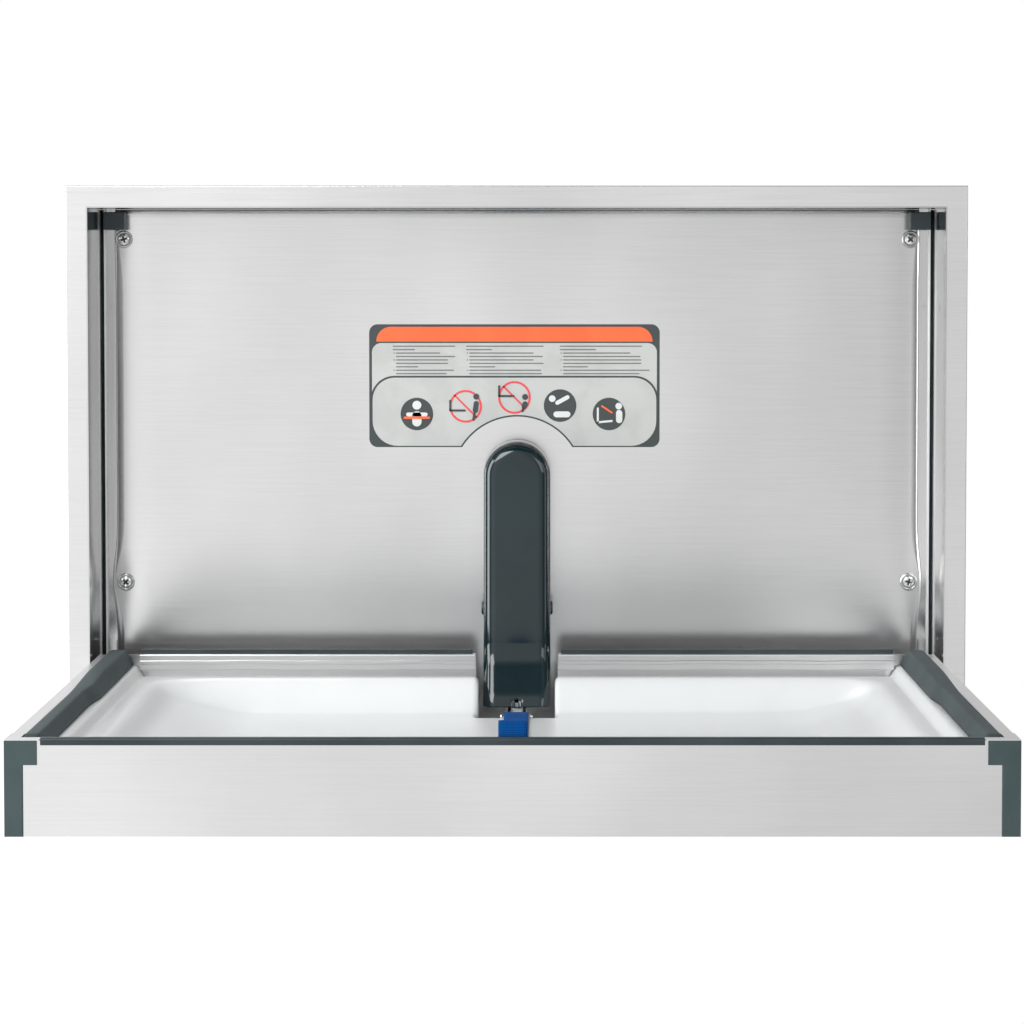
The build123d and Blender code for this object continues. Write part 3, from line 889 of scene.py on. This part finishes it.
def strap_stitches():
    """A box of stitches where the strap's end is sewn back on itself."""
    top = TUB_FLOOR + STRAP_GAP + 0.00075
    verts, faces = [], []
    stitch, gap, radius = 0.0030, 0.0012, 0.00042
    for x in (-0.0095, 0.0095):
        for number in range(9):
            y = -0.102 - number * (stitch + gap)
            add_stitch(verts, faces, (x, y - stitch, top), (x, y, top), radius)
    for number in range(4):
        x = -0.0085 + number * (stitch + gap) + 0.0003
        for y in (-0.1025, -0.1390):
            add_stitch(verts, faces, (x, y, top), (x + stitch, y, top), radius)
    return piece("strap_stitches", verts, faces, STITCH, "bed")


def add_stitch(verts, faces, start, stop, radius):
    """One raised thread, thin at both ends, where it goes into the cloth."""
    start, stop = Vector(start), Vector(stop)
    along = (stop - start).normalized()
    aside = Vector((-along.y, along.x, 0.0))
    sides, rings = 6, 6
    base = len(verts)
    for ring in range(rings):
        share = ring / (rings - 1)
        lift = math.sin(math.pi * share)
        size = radius * (0.35 + 0.65 * lift)
        middle = start.lerp(stop, share) + Vector((0, 0, radius * (lift - 0.35)))
        for i in range(sides):
            angle = 2 * math.pi * i / sides
            verts.append(middle + aside * (size * math.cos(angle)) + Vector((0, 0, size * math.sin(angle))))
    faces += ring_faces(rings, sides, closed_first=True, closed_last=True, base=base)


STITCH = moulded("stitching thread", (0.004, 0.045, 0.20), (0.010, 0.085, 0.34), 0.45, 0.60, 2500.0, 0.30)


# ---- stage, light and camera ----------------------------------------------------
def stage_floor():
    """A pale round floor well below the object, which hangs on a wall."""
    radius, drop = 1.5, 0.75
    rings = [0.0, 0.5, 1.0, radius]
    spokes = 96
    verts = [(0.0, -0.1, trim_low.z - drop)]
    for size in rings[1:]:
        angles = [2 * math.pi * i / spokes for i in range(spokes)]
        verts += [(size * math.cos(a), size * math.sin(a) - 0.1, trim_low.z - drop) for a in angles]
    faces = [(0, 1 + i, 1 + (i + 1) % spokes) for i in range(spokes)]
    for ring in range(len(rings) - 2):
        a, b = 1 + ring * spokes, 1 + (ring + 1) * spokes
        faces += [(a + i, b + i, b + (i + 1) % spokes, a + (i + 1) % spokes) for i in range(spokes)]
    mesh = bpy.data.meshes.new("stage_floor")
    mesh.from_pydata(verts, [], faces)
    floor = bpy.data.objects.new("stage_floor", mesh)
    bpy.context.scene.collection.objects.link(floor)
    mesh.materials.append(moulded("floor", (0.88, 0.88, 0.88), (0.885, 0.885, 0.885), 0.8, 0.9))


def studio_world():
    """White room, darker overhead and to the sides, and dimmer towards the right, as the steel shows it."""
    world = bpy.data.worlds.new("studio")
    bpy.context.scene.world = world
    world.use_nodes = True
    nodes, links = world.node_tree.nodes, world.node_tree.links
    background = nodes["Background"]
    background.inputs["Color"].default_value = (1.0, 1.0, 1.0, 1.0)
    coords = nodes.new("ShaderNodeTexCoord")
    parts = nodes.new("ShaderNodeSeparateXYZ")
    links.new(coords.outputs["Generated"], parts.inputs["Vector"])

    def spread(source, limits, levels):
        node = nodes.new("ShaderNodeMapRange")
        node.interpolation_type = "SMOOTHSTEP"
        node.inputs["From Min"].default_value, node.inputs["From Max"].default_value = limits
        node.inputs["To Min"].default_value, node.inputs["To Max"].default_value = levels
        links.new(source, node.inputs["Value"])
        return node.outputs["Result"]

    def combine(operation, first, second):
        node = nodes.new("ShaderNodeMath")
        node.operation = operation
        links.new(first, node.inputs[0])
        links.new(second, node.inputs[1])
        return node.outputs["Value"]

    left = spread(parts.outputs["X"], (-0.80, -0.40), (0.30, 1.0))
    right = spread(parts.outputs["X"], (0.35, 0.80), (1.0, 0.26))
    slope = spread(parts.outputs["X"], (-0.24, 0.24), (1.14, 0.68))
    above = spread(parts.outputs["Z"], (0.68, 0.90), (1.0, 0.08))
    rise = spread(parts.outputs["Z"], (-0.06, 0.07), (1.02, 0.87))
    sides = combine("MULTIPLY", left, right)
    heights = combine("MULTIPLY", above, rise)
    level = combine("MULTIPLY", combine("MULTIPLY", sides, slope), heights)
    seen = nodes.new("ShaderNodeLightPath").outputs["Is Camera Ray"]
    links.new(combine("MAXIMUM", level, seen), background.inputs["Strength"])


def soft_light(name, place, aim, size, power):
    data = bpy.data.lights.new(name, "AREA")
    data.shape = "RECTANGLE"
    data.size, data.size_y = size
    data.energy = power
    light = bpy.data.objects.new(name, data)
    bpy.context.scene.collection.objects.link(light)
    light.location = place
    light.rotation_euler = (Vector(aim) - Vector(place)).to_track_quat("-Z", "Y").to_euler()


def camera():
    """Views the open bed from the room, a little above it."""
    data = bpy.data.cameras.new("camera")
    cam = bpy.data.objects.new("camera", data)
    bpy.context.scene.collection.objects.link(cam)
    cam.location = (0.0214, -2.994, 0.5167)
    cam.rotation_euler = (math.radians(90 - 2.4), 0.0, 0.0)
    data.sensor_width = 36.0
    data.lens = 100.9
    data.shift_x = -0.0245
    data.shift_y = -0.1291
    data.clip_end = 50.0
    data.dof.use_dof = False
    bpy.context.scene.camera = cam


finish_cad_nodes()
back_panel()
box_corners()
panel_fixings()
strut_cover()
information_plate()
bed_liner()
side_rails()
rear_trims()
safety_strap()
strap_stitches()
stage_floor()
studio_world()
soft_light("key", (-1.3, -2.0, 2.4), (0.0, -0.1, 0.1), (1.6, 1.6), 50.0)
soft_light("fill", (1.9, -2.2, 1.4), (0.0, 0.0, 0.2), (1.4, 1.4), 12.0)
soft_light("left window", (-1.5, -0.55, 0.45), (0.0, 0.0, 0.25), (0.7, 1.8), 24.0)
soft_light("right window", (1.6, -0.65, 0.45), (0.0, 0.0, 0.25), (0.35, 1.6), 2.5)
camera()
bpy.context.scene.view_settings.view_transform = "Standard"
